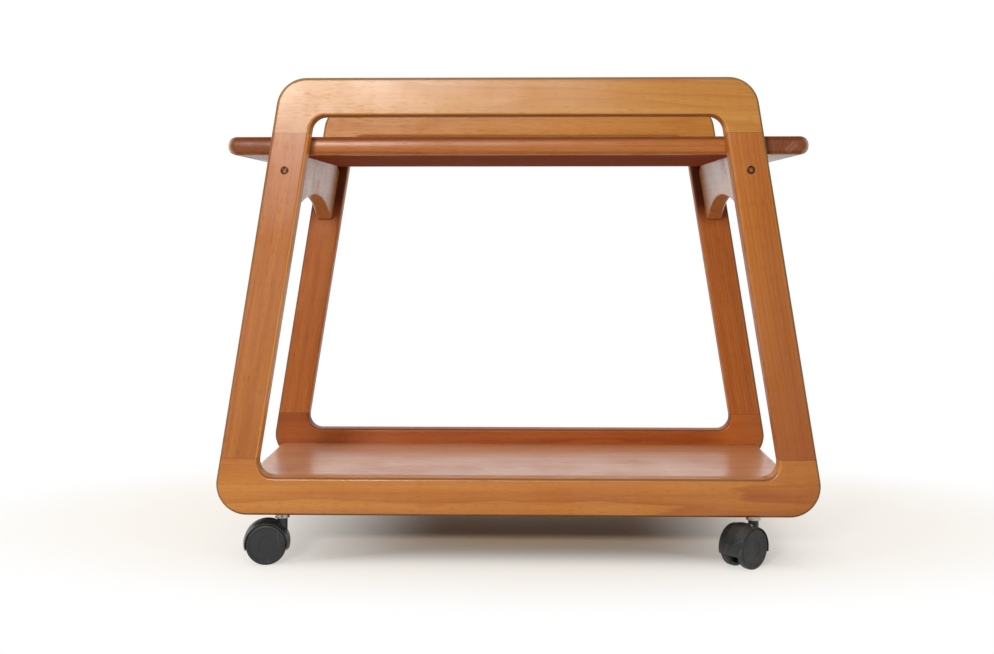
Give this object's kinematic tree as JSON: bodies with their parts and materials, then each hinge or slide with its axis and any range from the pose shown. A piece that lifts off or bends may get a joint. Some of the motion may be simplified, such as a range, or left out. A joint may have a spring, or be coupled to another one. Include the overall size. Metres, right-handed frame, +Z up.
{
  "type": "tea trolley",
  "caption": "Low teak tea trolley with splayed round-cornered frames, a tray with drop-leaf ends on arched cross rails, a lower shelf and swivel castors.",
  "frame": {"origin": "on the floor, below the middle of the trolley", "axes": "+X along the tray towards the right leaf, +Y from the front frame to the rear frame, +Z up"},
  "size_m": [0.748, 0.4624, 0.603],
  "materials": {
    "solid_teak": "satin lacquer",
    "teak_edge": "satin lacquer",
    "teak_veneer": "satin lacquer",
    "beech_dowel": "bare",
    "bronzed_steel": "bronzed",
    "hinge_brass": "satin",
    "castor_hood": "moulded",
    "castor_wheel": "moulded",
    "castor_steel": "plated"
  },
  "bodies": {
    "frame": {"cross_rail_barrel_nuts": "bronzed_steel", "cross_rail_bolts": "bronzed_steel", "cross_rail_dowels": "beech_dowel", "front_bottom_rail": "solid_teak", "front_left_castor_socket": "castor_steel", "front_left_leg": "solid_teak", "front_right_castor_socket": "castor_steel", "front_right_leg": "solid_teak", "front_top_lipping": "teak_edge", "front_top_rail": "solid_teak", "left_cross_rail": "solid_teak", "left_hinge_pins": "hinge_brass", "left_hinge_rail_plates": "hinge_brass", "left_hinge_rail_screws": "hinge_brass", "left_shelf_lipping": "teak_edge", "leg_dowels": "beech_dowel", "lower_shelf": "teak_veneer", "rear_bottom_rail": "solid_teak", "rear_left_castor_socket": "castor_steel", "rear_left_leg": "solid_teak", "rear_right_castor_socket": "castor_steel", "rear_right_leg": "solid_teak", "rear_top_lipping": "teak_edge", "rear_top_rail": "solid_teak", "right_cross_rail": "solid_teak", "right_hinge_pins": "hinge_brass", "right_hinge_rail_plates": "hinge_brass", "right_hinge_rail_screws": "hinge_brass", "right_shelf_lipping": "teak_edge", "shelf_dowels": "beech_dowel", "top_panel": "teak_veneer", "top_panel_dowels": "beech_dowel"},
    "left_leaf": {"left_leaf": "teak_edge", "left_hinge_leaf_plates": "hinge_brass", "left_hinge_leaf_screws": "hinge_brass"},
    "right_leaf": {"right_leaf": "teak_edge", "right_hinge_leaf_plates": "hinge_brass", "right_hinge_leaf_screws": "hinge_brass"},
    "front_left_castor": {"front_left_castor_stem": "castor_steel", "front_left_castor_hood": "castor_hood", "front_left_castor_axle": "castor_steel"},
    "front_left_castor_wheel_one": {"front_left_castor_wheel_one": "castor_wheel"},
    "front_left_castor_wheel_two": {"front_left_castor_wheel_two": "castor_wheel"},
    "front_right_castor": {"front_right_castor_stem": "castor_steel", "front_right_castor_hood": "castor_hood", "front_right_castor_axle": "castor_steel"},
    "front_right_castor_wheel_one": {"front_right_castor_wheel_one": "castor_wheel"},
    "front_right_castor_wheel_two": {"front_right_castor_wheel_two": "castor_wheel"},
    "rear_left_castor": {"rear_left_castor_stem": "castor_steel", "rear_left_castor_hood": "castor_hood", "rear_left_castor_axle": "castor_steel"},
    "rear_left_castor_wheel_one": {"rear_left_castor_wheel_one": "castor_wheel"},
    "rear_left_castor_wheel_two": {"rear_left_castor_wheel_two": "castor_wheel"},
    "rear_right_castor": {"rear_right_castor_stem": "castor_steel", "rear_right_castor_hood": "castor_hood", "rear_right_castor_axle": "castor_steel"},
    "rear_right_castor_wheel_one": {"rear_right_castor_wheel_one": "castor_wheel"},
    "rear_right_castor_wheel_two": {"rear_right_castor_wheel_two": "castor_wheel"}
  },
  "joints": [
    {"name": "left_leaf_drop", "type": "hinge", "parent": "frame", "child": "left_leaf", "pos_m": [-0.29988, 0, 0.5051], "axis": [0, -1, 0], "range_deg": [0, 80.8]},
    {"name": "right_leaf_drop", "type": "hinge", "parent": "frame", "child": "right_leaf", "pos_m": [0.29988, 0, 0.5051], "axis": [0, 1, 0], "range_deg": [0, 80.8]},
    {"name": "front_left_castor_swivel", "type": "hinge", "parent": "frame", "child": "front_left_castor", "pos_m": [-0.293, -0.1875, 0.06], "axis": [0, 0, 1], "continuous": true},
    {"name": "front_left_castor_wheel_one_spin", "type": "hinge", "parent": "front_left_castor", "child": "front_left_castor_wheel_one", "pos_m": [-0.31186, -0.18976, 0.025], "axis": [0.1191, -0.9929, 0], "continuous": true},
    {"name": "front_left_castor_wheel_two_spin", "type": "hinge", "parent": "front_left_castor", "child": "front_left_castor_wheel_two", "pos_m": [-0.31186, -0.18976, 0.025], "axis": [0.1191, -0.9929, 0], "continuous": true},
    {"name": "front_right_castor_swivel", "type": "hinge", "parent": "frame", "child": "front_right_castor", "pos_m": [0.293, -0.1875, 0.06], "axis": [0, 0, 1], "continuous": true},
    {"name": "front_right_castor_wheel_one_spin", "type": "hinge", "parent": "front_right_castor", "child": "front_right_castor_wheel_one", "pos_m": [0.27891, -0.20024, 0.025], "axis": [0.6707, -0.7417, 0], "continuous": true},
    {"name": "front_right_castor_wheel_two_spin", "type": "hinge", "parent": "front_right_castor", "child": "front_right_castor_wheel_two", "pos_m": [0.27891, -0.20024, 0.025], "axis": [0.6707, -0.7417, 0], "continuous": true},
    {"name": "rear_left_castor_swivel", "type": "hinge", "parent": "frame", "child": "rear_left_castor", "pos_m": [-0.293, 0.1875, 0.06], "axis": [0, 0, 1], "continuous": true},
    {"name": "rear_left_castor_wheel_one_spin", "type": "hinge", "parent": "rear_left_castor", "child": "rear_left_castor_wheel_one", "pos_m": [-0.31186, 0.18976, 0.025], "axis": [-0.1191, -0.9929, 0], "continuous": true},
    {"name": "rear_left_castor_wheel_two_spin", "type": "hinge", "parent": "rear_left_castor", "child": "rear_left_castor_wheel_two", "pos_m": [-0.31186, 0.18976, 0.025], "axis": [-0.1191, -0.9929, 0], "continuous": true},
    {"name": "rear_right_castor_swivel", "type": "hinge", "parent": "frame", "child": "rear_right_castor", "pos_m": [0.293, 0.1875, 0.06], "axis": [0, 0, 1], "continuous": true},
    {"name": "rear_right_castor_wheel_one_spin", "type": "hinge", "parent": "rear_right_castor", "child": "rear_right_castor_wheel_one", "pos_m": [0.27891, 0.20024, 0.025], "axis": [-0.6707, -0.7417, 0], "continuous": true},
    {"name": "rear_right_castor_wheel_two_spin", "type": "hinge", "parent": "rear_right_castor", "child": "rear_right_castor_wheel_two", "pos_m": [0.27891, 0.20024, 0.025], "axis": [-0.6707, -0.7417, 0], "continuous": true}
  ]
}
